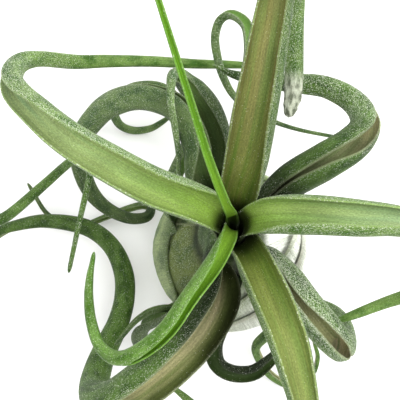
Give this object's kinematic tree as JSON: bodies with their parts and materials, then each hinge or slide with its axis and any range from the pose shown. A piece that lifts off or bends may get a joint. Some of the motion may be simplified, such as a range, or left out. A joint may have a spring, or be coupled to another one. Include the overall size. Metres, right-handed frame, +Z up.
{
  "type": "air plant",
  "caption": "Bulbous air plant: nested leaf sheaths form an egg-shaped bulb on a short stem, and channelled leaves arch out of it and curl at their tips.",
  "frame": {"origin": "middle of the flat root pad under the stem, on the surface the plant rests on", "axes": "+Z up along the stem; +X towards the leaf that arches out to the right"},
  "size_m": [0.1348, 0.135, 0.1524],
  "materials": {
    "stem": "dry, fibrous",
    "young_leaf": "smooth living leaf, satin",
    "bright_leaf": "living leaf, satin, fine white scales outside",
    "olive_leaf": "living leaf, satin, fine white scales along the margins",
    "tawny_leaf": "living leaf, frosted with fine white scales",
    "dark_leaf": "living leaf, matt, frosted with fine white scales",
    "pale_sheath": "dry outer sheath, matt"
  },
  "bodies": {
    "root": {"stem": "stem", "leaf_01": "young_leaf", "leaf_02": "young_leaf", "leaf_03": "bright_leaf", "leaf_04": "bright_leaf", "leaf_05": "olive_leaf", "leaf_06": "olive_leaf", "leaf_07": "tawny_leaf", "leaf_08": "tawny_leaf", "leaf_09": "dark_leaf", "leaf_10": "dark_leaf", "leaf_11": "tawny_leaf", "leaf_12": "dark_leaf", "leaf_13": "dark_leaf", "leaf_14": "dark_leaf", "leaf_15": "dark_leaf", "leaf_16": "pale_sheath"}
  },
  "joints": []
}
